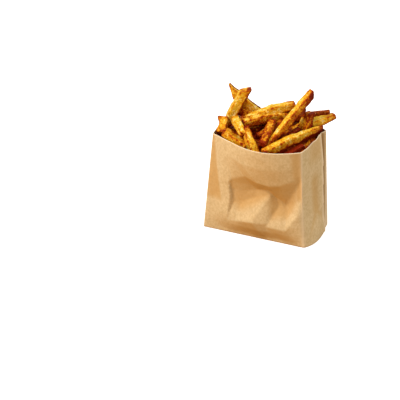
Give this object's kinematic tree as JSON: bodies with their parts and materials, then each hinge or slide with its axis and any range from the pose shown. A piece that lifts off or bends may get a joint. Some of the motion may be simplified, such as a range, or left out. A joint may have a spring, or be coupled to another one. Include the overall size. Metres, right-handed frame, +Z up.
{
  "type": "french fries in a paper bag",
  "caption": "Skin-on french fries heaped in an upright, open-topped paper bag with side gussets and a flat bottom.",
  "frame": {"origin": "middle of the bag's flat bottom, on the surface that it stands on", "axes": "+Z up, -Y out of the wide front panel, X across that panel"},
  "size_m": [0.1171, 0.0961, 0.1483],
  "materials": {
    "kraft_paper": "matt uncoated brown kraft paper, creased",
    "fried_potato": "golden fried potato with browned edges and dark skin, slightly oily, seasoned"
  },
  "bodies": {
    "root": {"paper_bag": "kraft_paper", "fries": "fried_potato"}
  },
  "joints": []
}
